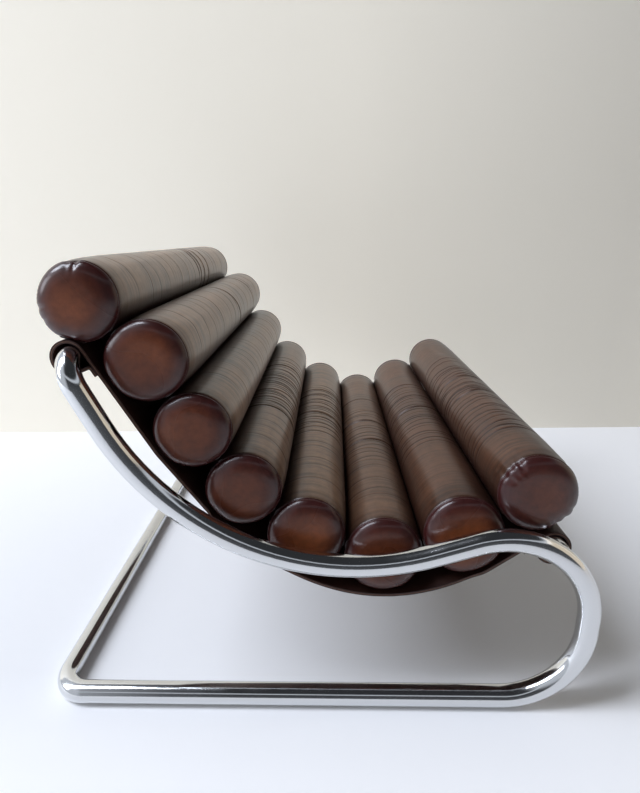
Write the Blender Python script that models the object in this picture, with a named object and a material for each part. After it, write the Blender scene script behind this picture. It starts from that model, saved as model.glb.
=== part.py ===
"""Lounge chair: two bent chrome side tubes, a leather sling and eight stuffed leather rolls.

Metres. +X is the front, +Y the sitter's left, +Z up. The origin is on the floor, midway along and across.
"""
import math

import bmesh
import bpy
from mathutils import Matrix, Vector

# Side tubes, sizes on the centreline, in the order in which the tube is fed and bent
TUBE_DIAMETER = 0.034
TUBE_WALL = 0.002
TUBE_FACETS = 16
SIDE_SPACING = 0.864
FRAME_DEPTH = 0.843
CORNER_RADIUS = 0.044
FRONT_LOWER_RADIUS = 0.125
FRONT_RISE = 0.024
FRONT_UPPER_RADIUS = 0.138
CREST_SLOPE = math.radians(18.2)
CREST_RUN = 0.060
SEAT_RADIUS = 0.402
BACK_SLOPE = math.radians(63.7)
BACK_RUN = 0.102
FRONT_BAR_TURN = math.radians(51.3)
OUTSIDE_SAGITTA = 0.0005
BORE_SAGITTA = 0.0010

# Joints inside the bars
FIT = 0.0003
SPIGOT_LENGTH = 0.120
STUB_LENGTH = 0.070
COPE_DEPTH = 0.0085
PLUG_CHAMFER = 0.002
SCREW_DIAMETER = 0.006
SCREW_LENGTH = 0.009
SCREW_SINK = 0.001
SCREW_FROM_JOINT = 0.030
SOCKET_DIAMETER = 0.003
SOCKET_DEPTH = 0.003

# Sling
SLING_THICKNESS = 0.005
SLING_SIDE_GAP = 0.015
HEAD_LOOP_SLACK = 0.004
HEAD_LOOP_HANG = math.radians(225)
FRONT_LOOP_SLACK = 0.0055
FRONT_LOOP_HANG = math.radians(270)
FLAP_RUN = 0.030
FLAP_OVERLAP = 0.012
FLAP_FOLD_RADIUS = 0.004
SLING_SAGITTA = 0.0001

# Rolls, from the head to the front. Their diameters are shares of the span from the head bar to the front bar,
# and the line from each roll to the next turns from that span by an angle
ROLL_SHARES = (0.1526, 0.1603, 0.1552, 0.1552, 0.1629, 0.1655, 0.1706, 0.1629)
ROLL_TURNS = tuple(math.radians(turn) for turn in (-21.4, -37.9, -30.4, -16.4, 6.6, 38.6, 57.1))
ROLL_SQUEEZE = 0.0005
ROLL_OVAL = 0.04
HEAD_ROLL_LEAN = math.radians(75.3)
HEAD_ROLL_SINK = 0.0045
SEAT_SINK = 0.0015
ROLL_END_GAP = 0.010
ROLL_POINTS = 20
LEATHER = 0.0025
RIM_DRAW = 0.003
SHOULDER_DRAW = 0.001
SHOULDER_RUN = 0.025
CROWN_RUN = 0.080
LINING_RUN = 0.060
CAP_BEAD = 0.006
CAP_BEAD_WIDTH = 0.0085
CAP_GROOVE = 0.0038
CAP_DOME = 0.009
CAP_DOME_INSET = 0.024
CAP_CENTRE_RADIUS = 0.014

TUBE_RADIUS = TUBE_DIAMETER / 2
BORE_RADIUS = TUBE_RADIUS - TUBE_WALL
SIDE_Y = SIDE_SPACING / 2
RUNNER_HEIGHT = TUBE_RADIUS * math.cos(math.pi / TUBE_FACETS)
REAR_X = -FRAME_DEPTH / 2
FRONT_X = FRAME_DEPTH / 2
SLING_HALF = SIDE_Y - TUBE_RADIUS - SLING_SIDE_GAP
ROLL_HALF = SLING_HALF - ROLL_END_GAP
SIDES = {"right": -1, "left": 1}


def clear_scene():
    for old in list(bpy.data.objects):
        bpy.data.objects.remove(old, do_unlink=True)


def finish(name, rgb, roughness, metallic):
    """A plain material for one kind of surface."""
    material = bpy.data.materials.new(name)
    material.use_nodes = True
    shader = material.node_tree.nodes["Principled BSDF"]
    shader.inputs["Base Color"].default_value = (*rgb, 1)
    shader.inputs["Roughness"].default_value = roughness
    shader.inputs["Metallic"].default_value = metallic
    material.diffuse_color = (*rgb, 1)
    return material


def loft(name, rings, material, closed=False):
    """Skins a row of rings: an open row gets flat ends, a closed one joins its last ring to its first."""
    bm = bmesh.new()
    rows = [[bm.verts.new(point) for point in ring] for ring in rings]
    count = len(rows[0])
    pairs = list(zip(rows, rows[1:]))
    if closed:
        pairs.append((rows[-1], rows[0]))
    else:
        bm.faces.new(rows[0])
        bm.faces.new(rows[-1])
    for one, two in pairs:
        for k in range(count):
            after = (k + 1) % count
            bm.faces.new((one[k], one[after], two[after], two[k]))
    bmesh.ops.recalc_face_normals(bm, faces=bm.faces)
    mesh = bpy.data.meshes.new(name)
    bm.to_mesh(mesh)
    bm.free()
    mesh.shade_smooth()
    mesh.set_sharp_from_angle(angle=math.radians(40))
    mesh.materials.append(material)
    obj = bpy.data.objects.new(name, mesh)
    bpy.context.scene.collection.objects.link(obj)
    return obj


def as_cutter(obj):
    obj.hide_render = True
    obj.display_type = "WIRE"
    return obj


def cut(obj, cutter):
    modifier = obj.modifiers.new("cut_" + cutter.name, "BOOLEAN")
    modifier.operation = "DIFFERENCE"
    modifier.solver = "EXACT"
    modifier.object = cutter


class TubePath:
    """A tube's centreline, traced as a bender makes it: straight feeds and round bends."""

    def __init__(self, start, heading, up, sagitta):
        self.at = Vector(start)
        self.heading = Vector(heading)
        self.up = Vector(up)
        self.sagitta = sagitta
        self.stations = []
        self.mark()

    def mark(self):
        self.stations.append((self.at.copy(), self.heading.copy(), self.up.copy()))

    def feed(self, length):
        self.at = self.at + self.heading * length
        self.mark()

    def bend(self, radius, angle, axis):
        axis = Vector(axis)
        step = 2 * math.acos(1 - self.sagitta / radius)
        count = math.ceil(angle / step)
        centre = self.at + axis.cross(self.heading) * radius
        turn = Matrix.Rotation(angle / count, 3, axis)
        for _ in range(count):
            self.at = centre + turn @ (self.at - centre)
            self.heading = turn @ self.heading
            self.up = turn @ self.up
            self.mark()


def tube_rings(stations, radius, facets=TUBE_FACETS):
    """Rings round a centreline, with a flat facet straight above and below the runner."""
    rings = []
    for at, heading, up in stations:
        across = heading.cross(up)
        ring = []
        for k in range(facets):
            angle = 2 * math.pi * (k + 0.5) / facets
            ring.append(at + up * radius * math.cos(angle) + across * radius * math.sin(angle))
        rings.append(ring)
    return rings


def side_path(sagitta):
    """The right side tube's centreline, from the rear bar's middle joint to the head bar's."""
    forward, back = (0, -1, 0), (0, 1, 0)
    joint_y = -FIT / 2
    path = TubePath((REAR_X, joint_y, RUNNER_HEIGHT), (0, -1, 0), (0, 0, 1), sagitta)
    path.feed(SIDE_Y - CORNER_RADIUS + joint_y)
    path.bend(CORNER_RADIUS, math.pi / 2, (0, 0, 1))
    path.feed(FRAME_DEPTH - CORNER_RADIUS - FRONT_LOWER_RADIUS)
    path.bend(FRONT_LOWER_RADIUS, math.pi / 2, forward)
    path.feed(FRONT_RISE)
    path.bend(FRONT_UPPER_RADIUS, math.pi / 2 + CREST_SLOPE, forward)
    path.feed(CREST_RUN)
    path.bend(SEAT_RADIUS, CREST_SLOPE + BACK_SLOPE, back)
    path.feed(BACK_RUN - CORNER_RADIUS)
    path.bend(CORNER_RADIUS, math.pi / 2, path.heading.cross(Vector((0, 1, 0))))
    path.feed(SIDE_Y - CORNER_RADIUS + joint_y)
    return path


def mirrored(stations, side):
    """Right-hand stations as they are, or reflected to the left."""
    flip = Vector((1, -side, 1))
    return [tuple(part * flip for part in station) for station in stations]


def head_axis():
    """Where the head bar's axis crosses the side view."""
    end = side_path(OUTSIDE_SAGITTA).at
    return Vector((end.x, end.z))


def front_arc_centre():
    return Vector((FRONT_X - FRONT_UPPER_RADIUS, RUNNER_HEIGHT + FRONT_LOWER_RADIUS + FRONT_RISE))


def front_axis():
    """The front bar's axis in the side view, on the side tube's centreline."""
    reach = Vector((math.cos(FRONT_BAR_TURN), math.sin(FRONT_BAR_TURN)))
    return front_arc_centre() + reach * FRONT_UPPER_RADIUS


def rod_rings(axis, start, end, radius, facets=TUBE_FACETS):
    """Rings of a rod that runs across the chair, at an axis of the side view."""
    stations = [(Vector((axis.x, y, axis.y)), Vector((0, 1, 0)), Vector((0, 0, 1))) for y in (start, end)]
    return tube_rings(stations, radius, facets)


def plug_rings(axis, start, end, radius):
    """A rod with both edges chamfered."""
    near = rod_rings(axis, start, start + PLUG_CHAMFER, radius)
    far = rod_rings(axis, end - PLUG_CHAMFER, end, radius)
    small = rod_rings(axis, start, end, radius - PLUG_CHAMFER)
    return [small[0], near[1], far[0], small[1]]


def make_side_tubes(material):
    tubes = {}
    outside = side_path(OUTSIDE_SAGITTA).stations
    bore = side_path(BORE_SAGITTA).stations
    for side, sign in SIDES.items():
        walls = tube_rings(mirrored(outside, sign), TUBE_RADIUS)
        lining = tube_rings(mirrored(bore, sign), BORE_RADIUS)
        tubes[side] = loft(f"{side}_side_tube", walls + lining[::-1], material, closed=True)
    return tubes


def make_cope_cutters(material):
    """The front shoulder of each side tube, one fit larger, which shapes what is welded to it."""
    path = TubePath((FRONT_X, -SIDE_Y, front_arc_centre().y), (0, 0, 1), (-1, 0, 0), OUTSIDE_SAGITTA)
    path.bend(FRONT_UPPER_RADIUS, math.pi / 2, (0, -1, 0))
    cutters = {}
    for side, sign in SIDES.items():
        rings = tube_rings(mirrored(path.stations, sign), TUBE_RADIUS + FIT)
        cutters[side] = as_cutter(loft(f"{side}_cope_cutter", rings, material))
    return cutters


def make_screw(name, axis, joint_y, side, metal):
    """A set screw that enters a bar from below, and the cutter of its hole."""
    y = joint_y + side * SCREW_FROM_JOINT
    head = axis.y - TUBE_RADIUS + SCREW_SINK
    tip = head + SCREW_LENGTH
    up, along = Vector((0, 0, 1)), Vector((0, 1, 0))

    def upright(heights, radius, facets):
        stations = [(Vector((axis.x, y, z)), up, along) for z in heights]
        return tube_rings(stations, radius, facets)

    shank = upright((head, tip), SCREW_DIAMETER / 2, 12)
    socket = upright((head, head + SOCKET_DEPTH), SOCKET_DIAMETER / 2, 12)
    loft(name, [socket[1], socket[0], shank[0], shank[1]], metal)
    hole = upright((axis.y - TUBE_DIAMETER, tip + FIT), SCREW_DIAMETER / 2 + FIT, 12)
    return as_cutter(loft(f"{name}_hole", hole, metal))


def make_bar_joints(tubes, metal):
    """The two spigots in the middle of the head bar and the rear bar, and their set screws."""
    rear_axis = Vector((REAR_X, RUNNER_HEIGHT))
    radius = BORE_RADIUS * math.cos(math.pi / TUBE_FACETS) - FIT
    for bar, axis in (("head", head_axis()), ("rear", rear_axis)):
        ends = (-SPIGOT_LENGTH / 2, SPIGOT_LENGTH / 2)
        spigot = loft(f"{bar}_spigot", plug_rings(axis, *ends, radius), metal)
        for side, sign in SIDES.items():
            hole = make_screw(f"{bar}_{side}_set_screw", axis, 0, sign, metal)
            cut(spigot, hole)
            cut(tubes[side], hole)


def make_front_bar(copes, chrome, metal):
    """The front bar, coped to the side tubes, on a stub at each end."""
    axis = front_axis()
    reach = SIDE_Y - TUBE_RADIUS + COPE_DEPTH
    outside = rod_rings(axis, -reach, reach, TUBE_RADIUS)
    bore = rod_rings(axis, -reach, reach, BORE_RADIUS)
    bar = loft("front_bar", outside + bore[::-1], chrome, closed=True)
    radius = BORE_RADIUS * math.cos(math.pi / TUBE_FACETS) - FIT
    for side, sign in SIDES.items():
        inner = sign * (SIDE_Y - STUB_LENGTH)
        ends = sorted((inner, sign * reach))
        stub = loft(f"front_{side}_stub", rod_rings(axis, *ends, radius), metal)
        hole = make_screw(f"front_{side}_set_screw", axis, inner, sign, metal)
        cut(bar, copes[side])
        cut(bar, hole)
        cut(stub, copes[side])
        cut(stub, hole)


class Round:
    """A round in the side view that the sling passes: its turn is positive on the left of the way it runs."""

    def __init__(self, centre, turn):
        self.centre = centre
        self.turn = turn


def left_of(heading):
    return Vector((-math.sin(heading), math.cos(heading)))


def tangent(one, two):
    """The heading of the straight run from one round to the next."""
    step = two.centre - one.centre
    return math.atan2(step.y, step.x) - math.asin((two.turn - one.turn) / step.length)


def polar(length, angle):
    return Vector((math.cos(angle), math.sin(angle))) * length


def loop_round(axis, slack, hang):
    """The sling's middle layer where it loops over a bar, hanging a little clear of it on one side."""
    radius = TUBE_RADIUS + FIT + slack + SLING_THICKNESS / 2
    return Round(axis + polar(slack, hang), -radius)


def roll_sizes():
    """The rolls' radii, and the slopes from each to the next, from the span between the two bars."""
    span = front_axis() - head_axis()
    lie = math.atan2(span.y, span.x)
    return [share * span.length / 2 for share in ROLL_SHARES], [lie + turn for turn in ROLL_TURNS]


def roll_centres(head_loop, radii, slopes):
    """Centres of the rolls in the side view: the first sits on the head loop, each other against the last."""
    rise = -head_loop.turn + SLING_THICKNESS / 2 + FIT + radii[0] - HEAD_ROLL_SINK
    centres = [head_loop.centre + polar(rise, HEAD_ROLL_LEAN)]
    for one, two, slope in zip(radii, radii[1:], slopes):
        centres.append(centres[-1] + polar(one + two - ROLL_SQUEEZE, slope))
    return centres


def seat_turn(radius):
    """How far the sling's middle layer lies from the centre of a roll that it carries."""
    return radius * (1 + ROLL_OVAL) - SEAT_SINK + FIT + SLING_THICKNESS / 2


def taut_rounds(head_loop, centres, radii, front_loop):
    """The rounds that a tight sling touches between its two loops."""
    rolls = [Round(centre, seat_turn(radius)) for centre, radius in zip(centres, radii)][1:]
    chain = [head_loop, *rolls, front_loop]
    k = 1
    while k < len(chain) - 1:
        if tangent(chain[k], chain[k + 1]) < tangent(chain[k - 1], chain[k]):
            chain.pop(k)
            k = max(1, k - 1)
        else:
            k += 1
    return chain


def flap_rounds(loop, heading, way):
    """A loop's turned-under flap: its free end, and the fold at the sling. The way is 1 at the head."""
    under = left_of(heading) * -(SLING_THICKNESS + FIT)
    start = loop.centre - left_of(heading) * loop.turn + under
    along = polar(way, heading)
    fold = start + along * FLAP_RUN - left_of(heading) * FLAP_FOLD_RADIUS
    return Round(start + along * (FLAP_RUN + FLAP_OVERLAP), 0), Round(fold, FLAP_FOLD_RADIUS)


def sling_line(chain):
    """Points along the sling's middle layer, each with its heading."""
    head_end, head_fold = flap_rounds(chain[0], tangent(chain[0], chain[1]), 1)
    front_end, front_fold = flap_rounds(chain[-1], tangent(chain[-2], chain[-1]), -1)
    route = [head_end, head_fold, *chain, front_fold, front_end]
    headings = [tangent(one, two) for one, two in zip(route, route[1:])]
    line = [(head_end.centre, headings[0])]
    for stop, arrive, leave in zip(route[1:-1], headings, headings[1:]):
        sweep = (leave - arrive) % (2 * math.pi)
        if stop.turn < 0:
            sweep -= 2 * math.pi
        step = 2 * math.acos(1 - SLING_SAGITTA / abs(stop.turn))
        count = math.ceil(abs(sweep) / step)
        for k in range(count + 1):
            heading = arrive + sweep * k / count
            line.append((stop.centre - left_of(heading) * stop.turn, heading))
    line.append((front_end.centre, headings[-1]))
    return line


def make_sling(line, leather):
    rings = []
    for point, heading in line:
        upper = point + left_of(heading) * SLING_THICKNESS / 2
        lower = point - left_of(heading) * SLING_THICKNESS / 2
        corners = ((upper, -SLING_HALF), (upper, SLING_HALF), (lower, SLING_HALF), (lower, -SLING_HALF))
        rings.append([Vector((p.x, y, p.y)) for p, y in corners])
    loft("sling", rings, leather)


class RollSection:
    """A roll's cross-section: taller than it is wide along the row, pressed flat against what it touches."""

    def __init__(self, centre, radius, row_angle):
        self.centre = centre
        self.radius = radius
        self.row_angle = row_angle
        self.walls = []

    def press(self, from_angle, to_angle, distance):
        """Holds the roll to a distance from one angle round to another, and straight on past them."""
        self.walls.append((from_angle, (to_angle - from_angle) % (2 * math.pi), distance))

    def reach(self, angle):
        reach = self.radius * (1 + ROLL_OVAL * math.sin(angle - self.row_angle) ** 2)
        for start, sweep, distance in self.walls:
            past = (angle - start) % (2 * math.pi)
            off = 0 if past <= sweep else min(past - sweep, 2 * math.pi - past)
            if off < math.pi / 3:
                reach = min(reach, distance / math.cos(off))
        return reach

    def ring(self, inset, y):
        points = []
        for k in range(ROLL_POINTS):
            angle = 2 * math.pi * k / ROLL_POINTS
            flat = self.centre + polar(self.reach(angle) - inset, angle)
            points.append(Vector((flat.x, y, flat.y)))
        return points


def roll_sections(centres, radii, slopes, chain):
    """Each roll's section, pressed by its neighbours, by the sling and, for the first, by the head loop."""
    ends = [slopes[0], *slopes, slopes[-1]]
    row_angles = [(before + after) / 2 for before, after in zip(ends, ends[1:])]
    sections = [RollSection(*sizes) for sizes in zip(centres, radii, row_angles)]
    for one, two in zip(sections, sections[1:]):
        step = two.centre - one.centre
        angle = math.atan2(step.y, step.x)
        share = one.radius / (one.radius + two.radius)
        one.press(angle, angle, step.length * share - FIT / 2)
        two.press(angle + math.pi, angle + math.pi, step.length * (1 - share) - FIT / 2)
    down = HEAD_ROLL_LEAN + math.pi
    sections[0].press(down, down, sections[0].radius - HEAD_ROLL_SINK)
    headings = [tangent(one, two) for one, two in zip(chain, chain[1:])]
    for section in sections[1:]:
        press_on_sling(section, chain, headings)
    return sections


def press_on_sling(section, chain, headings):
    """Flattens a roll where the sling bends round it, or where the nearest straight run passes it."""
    spare = SLING_THICKNESS / 2 + FIT
    for stop, arrive, leave in zip(chain[1:-1], headings, headings[1:]):
        if (stop.centre - section.centre).length < FIT:
            section.press(arrive - math.pi / 2, leave - math.pi / 2, stop.turn - spare)
            return
    clear = []
    for stop, heading in zip(chain, headings):
        distance = (section.centre - stop.centre).dot(left_of(heading)) + stop.turn
        clear.append((distance, heading - math.pi / 2))
    distance, angle = min(clear)
    section.press(angle, angle, distance - spare)


def make_roll(number, section, hide, cap_hide, foam):
    """One roll: a sleeve, two end caps with a rolled rim, and the core that they hold."""
    end = ROLL_HALF
    shape = ((end, RIM_DRAW), (end - SHOULDER_RUN, SHOULDER_DRAW), (end - CROWN_RUN, 0))
    lining = ((end, RIM_DRAW + LEATHER), (end - LINING_RUN, LEATHER + FIT))
    core = ((end - FIT, RIM_DRAW + LEATHER + FIT), (end - LINING_RUN, LEATHER + 2 * FIT))

    def both_ends(half):
        right = [section.ring(inset, -y) for y, inset in half]
        left = [section.ring(inset, y) for y, inset in half]
        return right + left[::-1]

    loft(f"roll_{number}_sleeve", both_ends(shape) + both_ends(lining)[::-1], hide, closed=True)
    loft(f"roll_{number}_core", both_ends(core), foam)
    rim = end + FIT
    centre = section.radius - CAP_CENTRE_RADIUS
    profile = (
        (centre, CAP_DOME - LEATHER),
        (RIM_DRAW, 0),
        (RIM_DRAW - FIT, CAP_BEAD / 2),
        (RIM_DRAW + CAP_BEAD_WIDTH / 2, CAP_BEAD),
        (RIM_DRAW + CAP_BEAD_WIDTH, CAP_GROOVE),
        (RIM_DRAW + CAP_BEAD_WIDTH + CAP_DOME_INSET, CAP_DOME - FIT),
        (centre, CAP_DOME),
    )
    for side, sign in SIDES.items():
        rings = [section.ring(inset, sign * (rim + out)) for inset, out in profile]
        loft(f"roll_{number}_{side}_cap", rings, cap_hide)


def main():
    clear_scene()
    chrome = finish("polished_chrome", (0.80, 0.81, 0.83), 0.06, 1)
    steel = finish("zinc_steel", (0.55, 0.56, 0.58), 0.35, 1)
    sling_hide = finish("dark_sling_leather", (0.030, 0.020, 0.018), 0.55, 0)
    roll_hide = finish("taupe_roll_leather", (0.115, 0.078, 0.066), 0.5, 0)
    cap_hide = finish("cognac_cap_leather", (0.150, 0.055, 0.035), 0.35, 0)
    foam = finish("cream_foam", (0.75, 0.69, 0.52), 0.9, 0)

    tubes = make_side_tubes(chrome)
    make_bar_joints(tubes, steel)
    make_front_bar(make_cope_cutters(chrome), chrome, steel)

    head_loop = loop_round(head_axis(), HEAD_LOOP_SLACK, HEAD_LOOP_HANG)
    front_loop = loop_round(front_axis(), FRONT_LOOP_SLACK, FRONT_LOOP_HANG)
    radii, slopes = roll_sizes()
    centres = roll_centres(head_loop, radii, slopes)
    chain = taut_rounds(head_loop, centres, radii, front_loop)
    make_sling(sling_line(chain), sling_hide)
    for number, section in enumerate(roll_sections(centres, radii, slopes, chain), 1):
        make_roll(number, section, roll_hide, cap_hide, foam)


main()
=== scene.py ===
"""Looks of the lounge chair: polished bent tubes, a two-ply leather sling and eight stuffed leather rolls.

Metres, in the part's own frame: +X to the front, +Y to the sitter's left, +Z up, with the floor at zero.
"""
import math

import bmesh
import bpy
import numpy as np
from mathutils import Matrix, Vector


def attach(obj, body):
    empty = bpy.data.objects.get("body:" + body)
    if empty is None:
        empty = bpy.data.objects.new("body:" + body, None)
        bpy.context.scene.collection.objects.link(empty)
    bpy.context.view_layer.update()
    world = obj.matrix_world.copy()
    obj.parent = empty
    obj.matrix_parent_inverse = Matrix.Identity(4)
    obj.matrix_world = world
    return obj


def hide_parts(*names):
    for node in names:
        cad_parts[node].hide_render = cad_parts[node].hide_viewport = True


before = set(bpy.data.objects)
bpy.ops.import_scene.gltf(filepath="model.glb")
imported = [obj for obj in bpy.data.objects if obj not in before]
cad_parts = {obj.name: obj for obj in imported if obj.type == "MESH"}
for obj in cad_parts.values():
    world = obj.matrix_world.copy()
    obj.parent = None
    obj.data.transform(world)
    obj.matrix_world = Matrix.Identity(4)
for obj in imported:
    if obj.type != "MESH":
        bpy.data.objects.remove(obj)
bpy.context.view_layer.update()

# Frame tube: the sizes of its bends, on the centreline, from the rear bar's joint to the head bar's
TUBE_RADIUS = 0.0167
BORE_RADIUS = 0.015
BORE_DEPTH = 0.070
TUBE_SIDES = 64
BEND_STEP = math.radians(3)
TUBE_SHARP = math.radians(50)
JOINT_GAP = 0.0003
SIDE_Y = 0.432
RUNNER_HEIGHT = 0.0167
FRAME_DEPTH = 0.843
CORNER_RADIUS = 0.044
FRONT_LOWER_RADIUS = 0.125
FRONT_RISE = 0.024
FRONT_UPPER_RADIUS = 0.138
CREST_SLOPE = math.radians(18.2)
CREST_RUN = 0.060
SEAT_RADIUS = 0.402
BACK_SLOPE = math.radians(63.7)
BACK_RUN = 0.102
FRONT_AXIS = (0.3698, 0.2734)
FRONT_BAR_HALF = 0.4165

# Rolls from the head to the front, in the side view: x, z and radius
ROLLS = (
    (-0.3299, 0.6492, 0.0593),
    (-0.2429, 0.5649, 0.0623),
    (-0.1829, 0.4585, 0.0603),
    (-0.1107, 0.3624, 0.0603),
    (-0.0150, 0.2847, 0.0633),
    (0.1072, 0.2495, 0.0643),
    (0.2324, 0.2852, 0.0663),
    (0.3389, 0.3582, 0.0633),
)
# How far each roll's left end lies forward of and above its right end
LEFT_END_SHIFTS = (
    (0.000, -0.003),
    (0.002, 0.004),
    (0.004, 0.005),
    (0.007, 0.007),
    (0.010, 0.014),
    (0.004, 0.011),
    (-0.005, 0.021),
    (-0.009, 0.015),
)
ROLL_HALF = 0.390
ROLL_OVAL = 0.04
TOUCH_GAP = 0.0001
ROLL_SIDES = 36
ROLL_RINGS = 110
# How softly a pressed flat runs into the round, and how much more room the head loop leaves at the right end
SOFT_EDGE = 70
HEAD_EASE = 0.0025
# The hide draws in towards a roll's ends, at the rim and at the shoulder, and turns over at the rim
RIM_DRAW = 0.003
SHOULDER_DRAW = 0.001
SHOULDER_RUN = 0.025
CROWN_RUN = 0.080
RIM_TURN = 0.006
RIM_TURN_DRAW = 0.0028
RIM_CLOSED = 0.8
ROLL_SHARP = math.radians(60)
# Stuffing: its pressure in the simulation, for how many frames, and how far the hide may swell where it is free
STUFFING_PRESSURE = 4
SIM_FRAMES = 20
SEWN_WIDTH = 0.001
FREE_SWELL = 0.0015
PRESSED_DEPTH = 0.001

# Sling: loops over the two bars (x, z and radius of the middle layer), and the rolls that press on it
SLING_HALF = 0.400
SLING_THICKNESS = 0.005
HEAD_LOOP = (-0.3506, 0.5704, 0.0238)
FRONT_LOOP = (0.3698, 0.2679, 0.0253)
SEAT_ROLLS = (2, 3, 4, 5, 6)
SEAT_SINK = 0.0015
FLAP_RUN = 0.030
FLAP_OVERLAP = 0.012
FLAP_FOLD = 0.004
# The free edges hang in one even curve under the seat: its lowest point, how fast it rises, and its run along x
EDGE_LOW = (0.1087, 0.1800)
EDGE_RISE = 1.905
EDGE_RUN = (-0.16, 0.32)
EDGE_WIDTH = 0.080
SLING_STEP = 0.008
SLING_CUTS = 31
PLY_CUTS = 5
# The sling meets the front loop this far behind the front bar, where it no longer follows the rolls' left ends
FRONT_LOOP_REACH = 0.03

# Creases across each roll, in groups: from and to along its length from the right end, how many, how deep, slant
CREASES = (
    ((0.55, 0.64, 3, 0.0027, 0.010), (0.67, 0.70, 1, 0.0024, 0.010), (0.06, 0.90, 14, 0.0005, 0)),
    ((0.50, 0.53, 1, 0.0026, -0.030), (0.76, 0.80, 1, 0.0014, -0.010), (0.06, 0.90, 14, 0.0005, 0)),
    ((0.80, 0.84, 1, 0.0008, 0), (0.08, 0.92, 16, 0.0005, 0)),
    ((0.57, 0.66, 2, 0.0026, 0), (0.26, 0.55, 9, 0.0022, 0), (0.26, 0.74, 18, 0.0010, 0),
     (0.06, 0.28, 5, 0.0004, 0)),
    ((0.36, 0.68, 8, 0.0018, 0), (0.45, 0.47, 1, 0.0030, 0), (0.32, 0.72, 16, 0.0010, 0),
     (0.06, 0.34, 6, 0.0004, 0)),
    ((0.69, 0.71, 1, 0.0014, 0), (0.50, 0.52, 1, 0.0028, 0), (0.37, 0.39, 1, 0.0028, 0),
     (0.26, 0.62, 16, 0.0006, 0), (0.06, 0.28, 5, 0.0004, 0)),
    ((0.66, 0.69, 1, 0.0026, 0), (0.57, 0.59, 1, 0.0022, 0), (0.47, 0.49, 1, 0.0028, 0),
     (0.25, 0.66, 20, 0.0008, 0)),
    ((0.48, 0.56, 2, 0.0028, 0), (0.37, 0.42, 2, 0.0024, 0), (0.60, 0.72, 3, 0.0014, 0),
     (0.12, 0.60, 22, 0.0013, 0)),
)
# How creases differ within a group: their place in its share of the run, spread and reach round the crown,
# depth, tilt, and the height, start and number of the waves along each
CREASE_SEED = 100
CREASE_PLACE = (0.15, 0.85)
CREASE_OFF_CROWN = math.radians(12)
CREASE_REACH = (50, 95)
CREASE_DEEPER = (0.65, 1.25)
CREASE_TILT = 0.004
CREASE_WAVE = (0.0006, 0.0026)
CREASE_PHASE = (0, 6.28)
CREASE_WAVES = (1.5, 3.5)
# A crease is at least this wide, and wider by this share of its depth; its lips stand up by a share of its depth
CREASE_WIDTH = 0.0012
CREASE_SPREAD = 0.42
LIP_HEIGHT = 0.12
LIP_OFFSET = 2.8
LIP_WIDTH = 1.8
# How dark the painted shade in the shallowest crease is, and the depth that adds full black
CREASE_SHADE_LEAST = 0.36
CREASE_BLACK = 0.0018
# How much wax bloom and painted grey-tan sheen each roll's crown carries
BLOOM_AND_SHEEN = (0.80, 0.60, 0.64, 0.52, 0.50, 0.20, 0.04, 0.05)
# Painted light on a roll's crown, over painted shade on its flanks: it ends this far round the crown, fades over
# this angle, and fades into painted shade near the roll's ends
CROWN_LIGHT_END = math.radians(76)
CROWN_LIGHT_FADE = math.radians(56)
CROWN_LIGHT_CURVE = 1.4
CROWN_LIGHT_NEAR_END = ((0.003, 0.035), (0.45, 1))
# How much of each roll end's pale middle shows against the painted shade towards its seam
CAP_PALE_MIDDLE = (0.75, 1.0, 1.15, 0.9, 1.1, 0.75, 1.15, 0.35)
# Puckers at the right ends of the first and the last roll: degrees from the front, half width in degrees, depth
RIM_PUCKERS = {
    0: ((86, 5, 0.0030), (97, 6, 0.0018), (188, 4, 0.0014), (207, 4, 0.0012)),
    7: ((124, 5, 0.0028), (137, 5, 0.0022), (150, 6, 0.0030),
        (-22, 4, 0.0012), (-40, 5, 0.0022), (-55, 4, 0.0012)),
}
PUCKER_RUN = 0.016
# Gathers on the seams
GATHER_SPACING = 0.0058
GATHER_HEIGHT = 0.00028
GATHER_RUN = 0.010

# A cap from its seam to its middle: inset from the roll's surface, and how far it stands out of the end
CAP_PROFILE = (
    (0.0065, -0.0030), (0.0040, -0.0016), (0.0028, -0.0004), (0.0024, 0.0007), (0.0029, 0.0016), (0.0034, 0.0017),
    (0.0039, 0.0045), (0.0055, 0.0072), (0.0080, 0.0097), (0.0115, 0.0119), (0.0158, 0.0137), (0.0206, 0.0149),
    (0.0258, 0.0158), (0.0314, 0.0162), (0.0380, 0.0162), (0.0450, 0.0162),
)
CAP_DOME = 0.0025
CAP_RINGS_PER_STEP = 3
CAP_SIDES = 160
# How dark a cap is by its inset from the roll's surface
CAP_SHADE = ((0.003, 0.009, 0.016, 0.024, 0.034, 0.048), (1, 0.97, 0.80, 0.55, 0.28, 0.05))
# Where the gathers and the puckers lie on a cap, by their inset, and how wide they are
SEAM_INSET = 0.004
SEAM_WIDTH = 0.003
PUCKER_INSET = 0.010
PUCKER_WIDTH = 0.008
PUCKER_FADE = 0.010

# Repeats of each pattern in a metre, from its real size
CHROME_SMEARS = 18  # 55 mm
CHROME_SCUFFS = (40, 900, 900)  # 25 mm long; 0.1 mm wide, drawn 1 mm wide so that they show
ZINC_SPANGLE = 400  # 2.5 mm
HIDE_HAIRLINES = (7, 170, 7)  # run round the roll; 1 to 2 mm apart, drawn 6 mm apart so that they show
HIDE_BLOTCHES = 9  # 110 mm
HIDE_PEBBLES = 480  # under 1 mm, drawn 2 mm wide so that they show
HIDE_DIRT = 80  # 12 mm
CAP_CLOUDS = 12  # 80 mm
CAP_DIRT = 95  # 10 mm
CAP_PEBBLES = 900  # 1.1 mm
SLING_CLOUDS = 24  # 40 mm
SLING_PEBBLES = 700  # 1.4 mm
PAINT_UNEVENNESS = 1.5  # 0.7 m

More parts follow.
